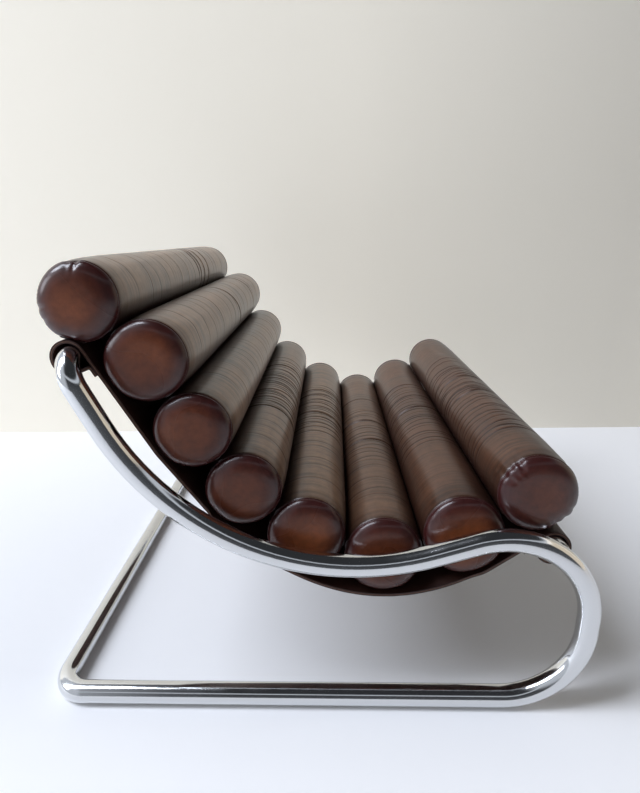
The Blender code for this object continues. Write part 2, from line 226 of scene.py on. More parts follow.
# Stage: the floor just clears the runners, and the wall behind the chair is turned a little
STAGE_SIZE = 12
FLOOR_GAP = 0.0002
WALL_MIDDLE = (0, 0.745, 1.0)
WALL_HEIGHT = 2
WALL_TURN = math.radians(2)
# How the glow of the floor and the wall fades: its axis, from where to where, and its two levels
FLOOR_FADE = ("Y", (-0.56, -0.38), (0.13, 0.0))
WALL_FADE = ("X", (0.1, 1.1), (0.235, 0.01))

# Lamps: place, target, size, power and colour
LAMPS = {
    "window": ((-6.3, -1.7, 8.3), (0, 0, 0.3), (3.0, 7.0), 1130, "#ebf2ff"),
    "low_window": ((-5.0, -1.6, 1.9), (0, 0.5, 0.8), (1.8, 1.6), 50, "#f2f6ff"),
    "warm_wall": ((3.7, 0.3, 1.3), (0, 0, 0.3), (3.6, 2.6), 22, "#ffeed4"),
}
# The room's light from the chair's right and from its left, its level as a backdrop, and its tint
ROOM_RIGHT = 0.22
ROOM_LEFT = 0.08
BACKDROP = 0.85
ROOM_TINT = "#e0e6f0"
# The room as the chrome mirrors it: near the floor and high up, on the window's side, and in a bright line
MIRRORED_LOW = 0.14
MIRRORED_HIGH = 0.045
MIRRORED_WINDOW = 0.8
MIRRORED_LINE = 0.85

# Camera: the photograph's viewpoint, with its look down and its turn to the left in degrees
EYE = (0.0145, -1.0834, 0.7407)
LOOK_DOWN = 14.79
LOOK_LEFT = 0.665
SENSOR_WIDTH = 36
LENS = 28.125
LENS_SHIFT = -0.0477

# Sockets of a Mix node, for colours and for plain values
MIX_A, MIX_B, MIX_COLOUR = 6, 7, 2
MIX_LOW, MIX_HIGH = 2, 3


def linear(hex_colour):
    """An sRGB hex colour as linear red, green, blue and alpha."""
    parts = [int(hex_colour[k:k + 2], 16) / 255 for k in (1, 3, 5)]
    return (*[p / 12.92 if p <= 0.04045 else ((p + 0.055) / 1.055) ** 2.4 for p in parts], 1)


def set_inputs(node, inputs):
    """Sets a node's inputs; each is a plain value, or a socket to link from."""
    for name, value in inputs.items():
        if isinstance(value, bpy.types.NodeSocket):
            node.id_data.links.new(value, node.inputs[name])
        else:
            node.inputs[name].default_value = value


def add(tree, kind, inputs=None, **settings):
    """Adds a shader node with its settings and inputs."""
    made = tree.nodes.new("ShaderNode" + kind)
    for name, value in settings.items():
        setattr(made, name, value)
    set_inputs(made, inputs or {})
    return made


def new_material(name):
    """A node material with only its shader and output: returns the material, its tree and the shader."""
    material = bpy.data.materials.new(name)
    material.use_nodes = True
    tree = material.node_tree
    return material, tree, tree.nodes["Principled BSDF"]


def polished_chrome():
    """Chrome plate on buffed steel tube: mirror-bright, with faint hazy smears and hairline scuffs from use."""
    material, tree, shader = new_material("polished_chrome")
    at = add(tree, "TexCoord").outputs["Object"]
    smears = add(tree, "TexNoise", {"Vector": at, "Scale": CHROME_SMEARS, "Detail": 4.0})
    scuff_space = add(tree, "Mapping", {"Vector": at, "Scale": CHROME_SCUFFS})
    scuffs = add(tree, "TexNoise", {"Vector": scuff_space.outputs["Vector"], "Scale": 1.0, "Detail": 3.0})
    haze = add(tree, "MapRange", {"Value": smears.outputs["Fac"], "From Min": 0.35, "From Max": 0.75,
                                  "To Min": 0.09, "To Max": 0.16})
    lines = add(tree, "MapRange", {"Value": scuffs.outputs["Fac"], "From Min": 0.62, "From Max": 0.80,
                                   "To Min": 0.0, "To Max": 0.10})
    rough = add(tree, "Math", {0: haze.outputs["Result"], 1: lines.outputs["Result"]}, operation="ADD")
    set_inputs(shader, {"Base Color": linear("#d6d7d8"), "Metallic": 1.0, "Roughness": rough.outputs["Value"]})
    return material


def zinc_steel():
    """Zinc-plated steel: satin grey with a patchy spangle."""
    material, tree, shader = new_material("zinc_steel")
    at = add(tree, "TexCoord").outputs["Object"]
    spangle = add(tree, "TexVoronoi", {"Vector": at, "Scale": ZINC_SPANGLE})
    tone = add(tree, "Mix", {"Factor": spangle.outputs["Distance"], MIX_A: linear("#a9abad"),
                             MIX_B: linear("#8d9093")}, data_type="RGBA")
    set_inputs(shader, {"Base Color": tone.outputs[MIX_COLOUR], "Metallic": 1.0, "Roughness": 0.38})
    return material


def speckled(tree, colour, repeats):
    """A leather's colour with dirt and dye in its pores, in cloudy specks."""
    at = add(tree, "TexCoord").outputs["Object"]
    dirt = add(tree, "TexNoise", {"Vector": at, "Scale": repeats, "Detail": 4.0, "Roughness": 0.65})
    tone = add(tree, "MapRange", {"Value": dirt.outputs["Fac"], "From Min": 0.3, "From Max": 0.7,
                                  "To Min": 0.78, "To Max": 1.18})
    return add(tree, "Mix", {"Factor": 1.0, MIX_A: colour.outputs[MIX_COLOUR], MIX_B: tone.outputs["Result"]},
               data_type="RGBA", blend_type="MULTIPLY").outputs[MIX_COLOUR]


def roll_leather():
    """Waxed full-grain cowhide, stuffed tight: dark brown, with painted light in grey-tan wax bloom and sheen on
    its crown, and painted shade on its flanks and in the creases across the roll.
    """
    material, tree, shader = new_material("waxed_brown_cowhide")
    at = add(tree, "TexCoord").outputs["Object"]
    line_space = add(tree, "Mapping", {"Vector": at, "Scale": HIDE_HAIRLINES})
    hairlines = add(tree, "TexNoise", {"Vector": line_space.outputs["Vector"], "Scale": 1.0, "Detail": 1.5,
                                       "Roughness": 0.5})
    blotches = add(tree, "TexNoise", {"Vector": at, "Scale": HIDE_BLOTCHES, "Detail": 2.0, "Roughness": 0.5})
    pebbles = add(tree, "TexVoronoi", {"Vector": at, "Scale": HIDE_PEBBLES}, feature="SMOOTH_F1")
    crease = add(tree, "Attribute", attribute_name="crease").outputs["Fac"]
    crown_light = add(tree, "Attribute", attribute_name="crown_light").outputs["Fac"]
    bloom_and_sheen = add(tree, "Attribute", attribute_name="bloom_and_sheen").outputs["Fac"]
    # The crown's grey-tan colour is real wax bloom mixed with painted sheen
    crown = add(tree, "Mix", {"Factor": bloom_and_sheen, MIX_A: linear("#593928"),
                              MIX_B: linear("#9a7859")}, data_type="RGBA")
    patchy = add(tree, "MapRange", {"Value": blotches.outputs["Fac"], "From Min": 0.3, "From Max": 0.7,
                                    "To Min": 0.75, "To Max": 1.15})
    # Painted light and shade: the crown is painted pale and the flanks near black, with random patches
    crown_lit = add(tree, "Math", {0: crown_light, 1: patchy.outputs["Result"]}, operation="MULTIPLY", use_clamp=True)
    ground = add(tree, "Mix", {"Factor": crown_lit.outputs["Value"], MIX_A: linear("#26120d"),
                               MIX_B: crown.outputs[MIX_COLOUR]}, data_type="RGBA")
    polish = add(tree, "MapRange", {"Value": bloom_and_sheen, "To Max": 0.52})
    lined = add(tree, "MapRange", {"Value": hairlines.outputs["Fac"], "From Min": 0.36, "From Max": 0.56,
                                   "To Min": 1.0, "To Max": 0.0})
    shown = add(tree, "MapRange", {"Value": blotches.outputs["Fac"], "From Min": 0.30, "From Max": 0.70,
                                   "To Min": 0.62, "To Max": 0.26}, interpolation_type="SMOOTHSTEP")
    lines = add(tree, "Math", {0: lined.outputs["Result"], 1: shown.outputs["Result"]}, operation="MULTIPLY")
    streaked = add(tree, "Mix", {"Factor": lines.outputs["Value"], MIX_A: ground.outputs[MIX_COLOUR],
                                 MIX_B: linear("#24150e")}, data_type="RGBA")
    # Painted shade: the creases are darkened towards near black by their depth
    creased = add(tree, "Mix", {"Factor": crease, MIX_A: streaked.outputs[MIX_COLOUR],
                                MIX_B: linear("#0f0908")}, data_type="RGBA")
    wax = add(tree, "MapRange", {"Value": blotches.outputs["Fac"], "From Min": 0.3, "From Max": 0.7,
                                 "To Min": 0.31, "To Max": 0.36})
    # No wax is left in the creases
    dry = add(tree, "MapRange", {"Value": crease, "To Max": 0.3})
    rough = add(tree, "Math", {0: wax.outputs["Result"], 1: dry.outputs["Result"]}, operation="ADD")
    fine = add(tree, "Bump", {"Height": pebbles.outputs["Distance"], "Strength": 0.12, "Distance": 0.0006})
    relief = add(tree, "Bump", {"Height": hairlines.outputs["Fac"], "Strength": 0.22, "Distance": 0.0012,
                                "Normal": fine.outputs["Normal"]})
    set_inputs(shader, {"Base Color": speckled(tree, creased, HIDE_DIRT), "Roughness": rough.outputs["Value"],
                        "Coat Weight": polish.outputs["Result"], "Coat Roughness": 0.3,
                        "Normal": relief.outputs["Normal"], "IOR": 1.5})
    return material


def cap_leather():
    """Burnished cowhide on the roll ends: glossy red-brown, paler in the middle, with painted shade darkest at
    the seam.
    """
    material, tree, shader = new_material("burnished_cognac_cowhide")
    at = add(tree, "TexCoord").outputs["Object"]
    rim = add(tree, "Attribute", attribute_name="rim").outputs["Fac"]
    clouds = add(tree, "TexNoise", {"Vector": at, "Scale": CAP_CLOUDS, "Detail": 0.0, "Roughness": 0.4})
    pebbles = add(tree, "TexVoronoi", {"Vector": at, "Scale": CAP_PEBBLES}, feature="SMOOTH_F1")
    mottle = add(tree, "MapRange", {"Value": clouds.outputs["Fac"], "From Min": 0.30, "From Max": 0.72},
                 interpolation_type="SMOOTHSTEP")
    middle = add(tree, "Mix", {"Factor": mottle.outputs["Result"], MIX_A: linear("#643219"),
                               MIX_B: linear("#8c4f2f")}, data_type="RGBA")
    # Painted shade: the cap is darkened towards its seam
    shaded = add(tree, "Mix", {"Factor": rim, MIX_A: middle.outputs[MIX_COLOUR],
                               MIX_B: linear("#391918")}, data_type="RGBA")
    # The wax is thickest on the shoulder
    thick = add(tree, "MapRange", {"Value": rim, "From Min": 0.55, "From Max": 0.85, "To Max": 0.36})
    thin = add(tree, "MapRange", {"Value": rim, "From Min": 0.97, "To Min": 1.0, "To Max": 0.4})
    polish = add(tree, "Math", {0: thick.outputs["Result"], 1: thin.outputs["Result"]}, operation="MULTIPLY")
    gloss = add(tree, "MapRange", {"Value": clouds.outputs["Fac"], "From Min": 0.3, "From Max": 0.7,
                                   "To Min": 0.26, "To Max": 0.30})
    fine = add(tree, "Bump", {"Height": pebbles.outputs["Distance"], "Strength": 0.10, "Distance": 0.0005})
    set_inputs(shader, {"Base Color": speckled(tree, shaded, CAP_DIRT), "Roughness": gloss.outputs["Result"],
                        "Coat Weight": polish.outputs["Value"], "Coat Roughness": 0.2,
                        "Normal": fine.outputs["Normal"], "IOR": 1.5, "Specular IOR Level": 0.3})
    return material


def sling_leather():
    """Saddle leather in two plies: near-black faces, and a pale line where the plies meet at the cut edge."""
    material, tree, shader = new_material("two_ply_saddle_leather")
    at = add(tree, "TexCoord").outputs["Object"]
    ply = add(tree, "Attribute", attribute_name="ply").outputs["Fac"]
    off_middle = add(tree, "Math", {0: ply}, operation="ABSOLUTE")
    cut_line = add(tree, "MapRange", {"Value": off_middle.outputs["Value"], "From Min": 0.10, "From Max": 0.30,
                                      "To Min": 1.0, "To Max": 0.0})
    clouds = add(tree, "TexNoise", {"Vector": at, "Scale": SLING_CLOUDS, "Detail": 5.0})
    pebbles = add(tree, "TexVoronoi", {"Vector": at, "Scale": SLING_PEBBLES}, feature="SMOOTH_F1")
    face = add(tree, "Mix", {"Factor": clouds.outputs["Fac"], MIX_A: linear("#26140f"),
                             MIX_B: linear("#3c221a")}, data_type="RGBA")
    edged = add(tree, "Mix", {"Factor": cut_line.outputs["Result"], MIX_A: face.outputs[MIX_COLOUR],
                              MIX_B: linear("#6b4c3b")}, data_type="RGBA")
    worn = add(tree, "MapRange", {"Value": clouds.outputs["Fac"], "From Min": 0.3, "From Max": 0.7,
                                  "To Min": 0.42, "To Max": 0.60})
    grain = add(tree, "Bump", {"Height": pebbles.outputs["Distance"], "Strength": 0.2, "Distance": 0.0006})
    set_inputs(shader, {"Base Color": edged.outputs[MIX_COLOUR], "Roughness": worn.outputs["Result"],
                        "Normal": grain.outputs["Normal"], "IOR": 1.5, "Specular IOR Level": 0.3})
    return material


def stage_material(name, colour, axis, run, glow):
    """A plain pale painted surface, a little uneven; its glow fades along one axis, and lights nothing."""
    material, tree, shader = new_material(name)
    at = add(tree, "TexCoord").outputs["Object"]
    uneven = add(tree, "TexNoise", {"Vector": at, "Scale": PAINT_UNEVENNESS, "Detail": 2.0})
    rough = add(tree, "MapRange", {"Value": uneven.outputs["Fac"], "To Min": 0.5, "To Max": 0.65})
    ray = add(tree, "LightPath").outputs
    sharp = add(tree, "Math", {0: ray["Is Glossy Ray"], 1: ray["Is Transmission Ray"]}, operation="MAXIMUM")
    seen = add(tree, "Math", {0: ray["Is Camera Ray"], 1: sharp.outputs["Value"]}, operation="MAXIMUM")
    place = add(tree, "SeparateXYZ", {"Vector": at})
    fade = add(tree, "MapRange", {"Value": place.outputs[axis], "From Min": run[0], "From Max": run[1],
                                  "To Min": glow[0], "To Max": glow[1]})
    shown = add(tree, "Math", {0: seen.outputs["Value"], 1: fade.outputs["Result"]}, operation="MULTIPLY")
    set_inputs(shader, {"Base Color": linear(colour), "Roughness": rough.outputs["Result"],
                        "Emission Color": linear(colour), "Emission Strength": shown.outputs["Value"]})
    # Seen from behind, the wall is open, so that the chair shows from every side
    open_back = add(tree, "MixShader", {"Fac": add(tree, "NewGeometry").outputs["Backfacing"],
                                        1: shader.outputs["BSDF"],
                                        2: add(tree, "BsdfTransparent").outputs["BSDF"]})
    set_inputs(tree.nodes["Material Output"], {"Surface": open_back.outputs["Shader"]})
    return material


def as_piece(name, bm, material):
    """Turns a finished bmesh into an object at the origin, shaded smooth."""
    mesh = bpy.data.meshes.new(name)
    bm.to_mesh(mesh)
    bm.free()
    mesh.shade_smooth()
    mesh.materials.append(material)
    obj = bpy.data.objects.new(name, mesh)
    bpy.context.scene.collection.objects.link(obj)
    return obj


def stand_for(piece, slot, *nodes):
    """Fixes a piece to the chair in place of its CAD nodes."""
    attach(piece, "root")
    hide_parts(*nodes)


def rim_edges(rim):
    """The edges between a rim's vertices."""
    held = set(rim)
    touching = dict.fromkeys(e for v in rim for e in v.link_edges)
    return [e for e in touching if held.issuperset(e.verts)]


def grow_rim(bm, edges):
    """Extrudes a rim's edges, and returns the new rim's vertices."""
    grown = bmesh.ops.extrude_edge_only(bm, edges=edges)["geom"]
    return [g for g in grown if isinstance(g, bmesh.types.BMVert)]


def close_rim(bm, rim):
    """Closes a rim with one flat face."""
    bmesh.ops.edgeloop_fill(bm, edges=rim_edges(rim))


class Sweep:
    """Carries an outline along a path of straight feeds and round bends."""

    def __init__(self, bm, rim, at, heading):
        self.bm = bm
        self.rim = rim
        self.start = rim
        self.at = Vector(at)
        self.heading = Vector(heading)

    def grow(self):
        self.rim = grow_rim(self.bm, rim_edges(self.rim))

    def feed(self, length):
        self.grow()
        bmesh.ops.translate(self.bm, verts=self.rim, vec=self.heading * length)
        self.at += self.heading * length

    def bend(self, radius, angle, axis):
        axis = Vector(axis)
        steps = max(1, math.ceil(angle / BEND_STEP))
        centre = self.at + axis.cross(self.heading) * radius
        turn = Matrix.Rotation(angle / steps, 3, axis)
        for _ in range(steps):
            self.grow()
            bmesh.ops.rotate(self.bm, verts=self.rim, cent=centre, matrix=turn)
        whole = Matrix.Rotation(angle, 3, axis)
        self.at = centre + whole @ (self.at - centre)
        self.heading = whole @ self.heading


def round_sweep(at, heading, radius):
    """A sweep that starts with a round tube's end."""
    bm = bmesh.new()
    place = Matrix.Translation(at) @ Vector(heading).to_track_quat("Z", "Y").to_matrix().to_4x4()
    ring = bmesh.ops.create_circle(bm, segments=TUBE_SIDES, radius=radius, matrix=place)["verts"]
    return Sweep(bm, ring, at, heading)


def bore_end(bm, rim, inward):
    """Closes a tube's end with a flat lip and a blind bore."""
    sweep = Sweep(bm, rim, sum((v.co for v in rim), Vector()) / len(rim), inward)
    for radius, depth in ((BORE_RADIUS, 0), (BORE_RADIUS, BORE_DEPTH)):
        before = (sweep.rim[0].co - sweep.at).length
        sweep.feed(depth)
        bmesh.ops.scale(bm, vec=Vector((1, 1, 1)) * (radius / before), verts=sweep.rim,
                        space=Matrix.Translation(-sweep.at))
    close_rim(bm, sweep.rim)


def side_tube(side, material):
    """One bent side tube, made on the right and mirrored for the left."""
    up_front, up_back = (0, -1, 0), (0, 1, 0)
    joint = SIDE_Y - CORNER_RADIUS - JOINT_GAP / 2
    tube = round_sweep((-FRAME_DEPTH / 2, -JOINT_GAP / 2, RUNNER_HEIGHT), (0, -1, 0), TUBE_RADIUS)
    tube.feed(joint)
    tube.bend(CORNER_RADIUS, math.pi / 2, (0, 0, 1))
    tube.feed(FRAME_DEPTH - CORNER_RADIUS - FRONT_LOWER_RADIUS)
    tube.bend(FRONT_LOWER_RADIUS, math.pi / 2, up_front)
    tube.feed(FRONT_RISE)
    tube.bend(FRONT_UPPER_RADIUS, math.pi / 2 + CREST_SLOPE, up_front)
    tube.feed(CREST_RUN)
    tube.bend(SEAT_RADIUS, CREST_SLOPE + BACK_SLOPE, up_back)
    tube.feed(BACK_RUN - CORNER_RADIUS)
    tube.bend(CORNER_RADIUS, math.pi / 2, tube.heading.cross(Vector((0, 1, 0))))
    tube.feed(joint)
    bore_end(tube.bm, tube.start, (0, -1, 0))
    bore_end(tube.bm, tube.rim, (0, -1, 0))
    if side == "left":
        bmesh.ops.scale(tube.bm, vec=(1, -1, 1), verts=tube.bm.verts)
    bmesh.ops.recalc_face_normals(tube.bm, faces=tube.bm.faces)
    piece = as_piece(f"{side}_bent_tube", tube.bm, material)
    piece.data.set_sharp_from_angle(angle=TUBE_SHARP)
    stand_for(piece, "chrome", f"{side}_side_tube")


def front_bar(material):
    """The straight bar inside the sling's front loop."""
    x, z = FRONT_AXIS
    bar = round_sweep((x, -FRONT_BAR_HALF, z), (0, 1, 0), TUBE_RADIUS)
    bar.feed(2 * FRONT_BAR_HALF)
    bore_end(bar.bm, bar.start, (0, 1, 0))
    bore_end(bar.bm, bar.rim, (0, -1, 0))
    bmesh.ops.recalc_face_normals(bar.bm, faces=bar.bm.faces)
    piece = as_piece("front_sling_bar", bar.bm, material)
    piece.data.set_sharp_from_angle(angle=TUBE_SHARP)
    stand_for(piece, "chrome", "front_bar")


def left_of(heading):
    """Unit vector square to a heading in the side view, to its left."""
    return Vector((-math.sin(heading), math.cos(heading)))


def along(heading):
    """Unit vector along a heading in the side view."""
    return Vector((math.cos(heading), math.sin(heading)))


def tangent(one, two):
    """Heading of the straight run between two rounds (centre, turn), where a turn is positive to the left."""
    step = two[0] - one[0]
    return math.atan2(step.y, step.x) - math.asin((two[1] - one[1]) / step.length)


def flap_rounds(loop, heading, way):
    """The free end and the fold of the flap under a loop; the way is 1 at the head and -1 at the front."""
    start = loop[0] - left_of(heading) * (loop[1] + SLING_THICKNESS + TOUCH_GAP)
    fold = start + along(heading) * way * FLAP_RUN - left_of(heading) * FLAP_FOLD
    return (start + along(heading) * way * (FLAP_RUN + FLAP_OVERLAP), 0), (fold, FLAP_FOLD)


def sling_rounds():
    """Everything that the sling passes: its head flap, head loop, the rolls, front loop and front flap."""
    loops = [(Vector(loop[:2]), -loop[2]) for loop in (HEAD_LOOP, FRONT_LOOP)]
    spare = SLING_THICKNESS / 2 + TOUCH_GAP - SEAT_SINK
    rolls = [(Vector(ROLLS[k][:2]), ROLLS[k][2] * (1 + ROLL_OVAL) + spare) for k in SEAT_ROLLS]
    chain = [loops[0], *rolls, loops[1]]
    head_end, head_fold = flap_rounds(chain[0], tangent(chain[0], chain[1]), 1)
    front_end, front_fold = flap_rounds(chain[-1], tangent(chain[-2], chain[-1]), -1)
    return [head_end, head_fold, *chain, front_fold, front_end]


def settle(points, ply):
    """Lays the sling under the rolls' left ends, and lets its free edges hang beneath the seat."""
    x, y, z = points.T
    share = np.clip((y + ROLL_HALF) / (2 * ROLL_HALF), 0, 1)
    stops = (HEAD_LOOP[0], *(ROLLS[k][0] for k in SEAT_ROLLS), FRONT_LOOP[0] - FRONT_LOOP_REACH)
    lift = [np.interp(x, stops, (0, *(LEFT_END_SHIFTS[k][axis] for k in SEAT_ROLLS), 0)) for axis in (0, 1)]
    # The right-hand edge's middle layer, without the flaps, tells how far the edges have to hang
    run = (np.abs(ply) < 0.01) & (y < -SLING_HALF + 1e-6) & (x > EDGE_RUN[0]) & (x < EDGE_RUN[1])
    run &= z > np.interp(x, (0, FRONT_LOOP[0]), (0, FRONT_LOOP[1] - FRONT_LOOP[2]))
    order = np.argsort(x[run])
    line = x[run][order]
    hang = np.maximum(z[run][order] - EDGE_LOW[1] - EDGE_RISE * (line - EDGE_LOW[0]) ** 2, 0)
    edge = np.clip((np.abs(y) - SLING_HALF + EDGE_WIDTH) / EDGE_WIDTH, 0, 1) ** 2
    droop = edge * np.interp(x, line, hang, left=0, right=0)
    return points + np.stack([share * lift[0], np.zeros_like(x), share * lift[1] - droop], 1)


def make_sling(material):
    """The sling as one flat band, carried from its head flap to its front flap."""
    rounds = sling_rounds()
    headings = [tangent(one, two) for one, two in zip(rounds, rounds[1:])]
    bm = bmesh.new()
    ply = bm.verts.layers.float.new("ply")
    start, across = rounds[0][0], left_of(headings[0]) * SLING_THICKNESS / 2
    corners = []
    for y, level in ((-SLING_HALF, 1), (SLING_HALF, 1), (SLING_HALF, -1), (-SLING_HALF, -1)):
        flat = start + across * level
        corner = bm.verts.new((flat.x, y, flat.y))
        corner[ply] = level
        corners.append(corner)
    outline = [bm.edges.new((corners[k], corners[k - 3])) for k in range(4)]
    bmesh.ops.subdivide_edges(bm, edges=outline[::2], cuts=SLING_CUTS)
    bmesh.ops.subdivide_edges(bm, edges=outline[1::2], cuts=PLY_CUTS)
    band = Sweep(bm, list(bm.verts), (start.x, 0, start.y), (along(headings[0]).x, 0, along(headings[0]).y))
    for stop, arrive, leave in zip(rounds[1:-1], headings, headings[1:]):
        touch = stop[0] - left_of(arrive) * stop[1]
        run = (touch - Vector((band.at.x, band.at.z))).length
        pieces = math.ceil(run / SLING_STEP)
        for _ in range(pieces):
            band.feed(run / pieces)
        sweep = (leave - arrive) % (2 * math.pi)
        if stop[1] < 0:
            sweep = 2 * math.pi - sweep
        band.bend(abs(stop[1]), sweep, (0, -1, 0) if stop[1] > 0 else (0, 1, 0))
    band.feed((rounds[-1][0] - Vector((band.at.x, band.at.z))).length)
    for rim in (band.start, band.rim):
        close_rim(bm, rim)
    bmesh.ops.recalc_face_normals(bm, faces=bm.faces)
    piece = as_piece("sling_hide", bm, material)
    plies = np.empty(len(piece.data.vertices), np.float32)
    piece.data.attributes["ply"].data.foreach_get("value", plies)
    write_points(piece.data, settle(read_points(piece.data), plies))
    piece.data.set_sharp_from_angle(angle=TUBE_SHARP)
    stand_for(piece, "sling_leather", "sling")
    return piece


class Section:
    """A roll's cross-section at one end, pressed flat against its neighbours, the sling and the head loop."""

    def __init__(self, number, centres):
        self.radius = ROLLS[number][2]
        self.centre = centres[number]
        self.walls = []
        steps = []
        for other in (number - 1, number + 1):
            if 0 <= other < len(ROLLS):
                step = centres[other] - self.centre
                share = self.radius / (self.radius + ROLLS[other][2])
                self.press(math.atan2(step.y, step.x), 0, step.length * share - TOUCH_GAP / 2)
                steps.append(step if other > number else -step)
        row = sum(steps, Vector((0, 0)))
        self.row_angle = math.atan2(row.y, row.x)

    def press(self, start, sweep, distance):
        """Adds what presses on the roll: the angle where it starts, how far round it goes, and its distance."""
        self.walls.append((start, sweep, distance))

    def free_reach(self, angle):
        return self.radius * (1 + ROLL_OVAL * np.sin(angle - self.row_angle) ** 2)

    def reach(self, angle):
        """How far the hide stands from the roll's middle; the pressed flats run into the round softly."""
        total = self.free_reach(angle) ** -SOFT_EDGE
        for start, sweep, distance in self.walls:
            past = (angle - start) % (2 * math.pi)
            off = np.where(past <= sweep, 0, np.minimum(past - sweep, 2 * math.pi - past))
            total = total + (np.cos(np.minimum(off, math.pi / 2)) / distance) ** SOFT_EDGE
        return total ** (-1 / SOFT_EDGE)


class RollForm:
    """A roll's form between its right-hand and its left-hand section."""

    def __init__(self, number):
        right = [Vector(roll[:2]) for roll in ROLLS]
        left = [centre + Vector(shift) for centre, shift in zip(right, LEFT_END_SHIFTS)]
        self.number = number
        self.radius = ROLLS[number][2]
        self.right, self.left = Section(number, right), Section(number, left)
        self.crown_angle = self.right.row_angle + math.pi / 2

    def off_crown(self, angle):
        """Angle from the roll's crown, between minus and plus half a turn."""
        return (angle - self.crown_angle + math.pi) % (2 * math.pi) - math.pi

    def press(self, start, sweep, distance):
        self.right.press(start, sweep, distance)
        self.left.press(start, sweep, distance)

    def share(self, y):
        return np.clip((y + ROLL_HALF) / (2 * ROLL_HALF), 0, 1)

    def reach(self, angle, y):
        share = self.share(y)
        return (1 - share) * self.right.reach(angle) + share * self.left.reach(angle)

    def give(self, angle, y):
        """How free the hide is to swell: one where nothing presses on it."""
        share = self.share(y)
        free = (1 - share) * self.right.free_reach(angle) + share * self.left.free_reach(angle)
        return 1 - np.clip((free - self.reach(angle, y)) / PRESSED_DEPTH, 0, 1)

    def middle(self, y):
        share = self.share(y)
        one, two = self.right.centre, self.left.centre
        return one.x + share * (two.x - one.x), one.y + share * (two.y - one.y)

    def place(self, angle, radius, y):
        """Points of the roll as an array of coordinates."""
        x, z = self.middle(y)
        return np.stack([x + radius * np.cos(angle), y, z + radius * np.sin(angle)], 1)

    def polar(self, points):
        """Angle and distance from the roll's middle for an array of coordinates."""
        x, z = self.middle(points[:, 1])
        return np.arctan2(points[:, 2] - z, points[:, 0] - x), np.hypot(points[:, 0] - x, points[:, 2] - z)


def press_on_carriers(forms):
    """Flattens each roll on the sling beneath it, and the first one on the head loop."""
    rounds = sling_rounds()[2:-2]
    headings = [tangent(one, two) for one, two in zip(rounds, rounds[1:])]
    spare = SLING_THICKNESS / 2 + TOUCH_GAP
    for stop, arrive, leave, number in zip(rounds[1:-1], headings, headings[1:], SEAT_ROLLS):
        forms[number].press(arrive - math.pi / 2, leave - arrive, stop[1] - spare)
    for number, run in ((1, 0), (7, len(headings) - 1)):
        stop, heading = rounds[run], headings[run]
        distance = (Vector(ROLLS[number][:2]) - stop[0]).dot(left_of(heading)) + stop[1]
        forms[number].press(heading - math.pi / 2, 0, distance - spare)
    down = Vector(HEAD_LOOP[:2]) - Vector(ROLLS[0][:2])
    for section, eased in ((forms[0].right, HEAD_EASE), (forms[0].left, 0)):
        section.press(math.atan2(down.y, down.x), 0, down.length - HEAD_LOOP[2] - spare + eased)


def end_draw(y):
    """How far the hide draws in towards a roll's ends, with a rounded turn at the rim."""
    inset = ROLL_HALF - np.abs(y)
    taper = np.interp(inset, (0, SHOULDER_RUN, CROWN_RUN), (RIM_DRAW, SHOULDER_DRAW, 0))
    turn = np.clip(1 - inset / RIM_TURN, 0, 0.999)
    return taper + RIM_TURN_DRAW * (1 - np.sqrt(1 - turn ** 2))


def read_points(mesh):
    points = np.empty(len(mesh.vertices) * 3)
    mesh.vertices.foreach_get("co", points)
    return points.reshape(-1, 3)


def write_points(mesh, points):
    mesh.vertices.foreach_set("co", np.ascontiguousarray(points, dtype=np.float32).ravel())
    mesh.update()


def sewn_sleeves(forms, material):
    """Open hide sleeves, one for each roll."""
    sleeves = []
    for form in forms:
        bm = bmesh.new()
        bmesh.ops.create_cone(bm, segments=ROLL_SIDES, radius1=1, radius2=1, depth=2)
        runs = [e for e in bm.edges if abs(e.verts[0].co.z - e.verts[1].co.z) > 1]
        bmesh.ops.subdivide_edges(bm, edges=runs, cuts=ROLL_RINGS, use_grid_fill=True)
        piece = as_piece(f"roll_{form.number + 1}_hide", bm, material)
        points = read_points(piece.data)
        angle, y = np.arctan2(points[:, 1], points[:, 0]), points[:, 2] * ROLL_HALF
        write_points(piece.data, form.place(angle, form.reach(angle, y) - end_draw(y), y))
        sleeves.append(piece)
    return sleeves


def stuff(forms, sleeves):
    """Fills the sleeves: cloth held at its two sewn ends swells under the stuffing's pressure."""
    for piece in sleeves:
        y = read_points(piece.data)[:, 1]
        ends = piece.vertex_groups.new(name="sewn_ends")
        ends.add([int(k) for k in np.flatnonzero(np.abs(y) > ROLL_HALF - SEWN_WIDTH)], 1, "REPLACE")
        cloth = piece.modifiers.new("stuffing", "CLOTH")
        cloth.settings.vertex_group_mass = "sewn_ends"
        cloth.settings.use_pressure = True
        cloth.settings.uniform_pressure_force = STUFFING_PRESSURE
        cloth.settings.effector_weights.gravity = 0
        cloth.settings.quality = 5
        cloth.point_cache.frame_end = SIM_FRAMES
    scene = bpy.context.scene
    for moment in range(1, SIM_FRAMES + 1):
        scene.frame_set(moment)
    swollen = []
    for piece in sleeves:
        shown = piece.evaluated_get(bpy.context.evaluated_depsgraph_get())
        swollen.append(read_points(shown.to_mesh()))
        shown.to_mesh_clear()
    for form, piece, after in zip(forms, sleeves, swollen):
        piece.modifiers.clear()
        piece.vertex_groups.clear()
        before = read_points(piece.data)
        angle, radius = form.polar(before)
        radius = np.maximum(radius, form.polar(after)[1])
        write_points(piece.data, form.place(angle, radius, before[:, 1]))
    scene.frame_set(1)


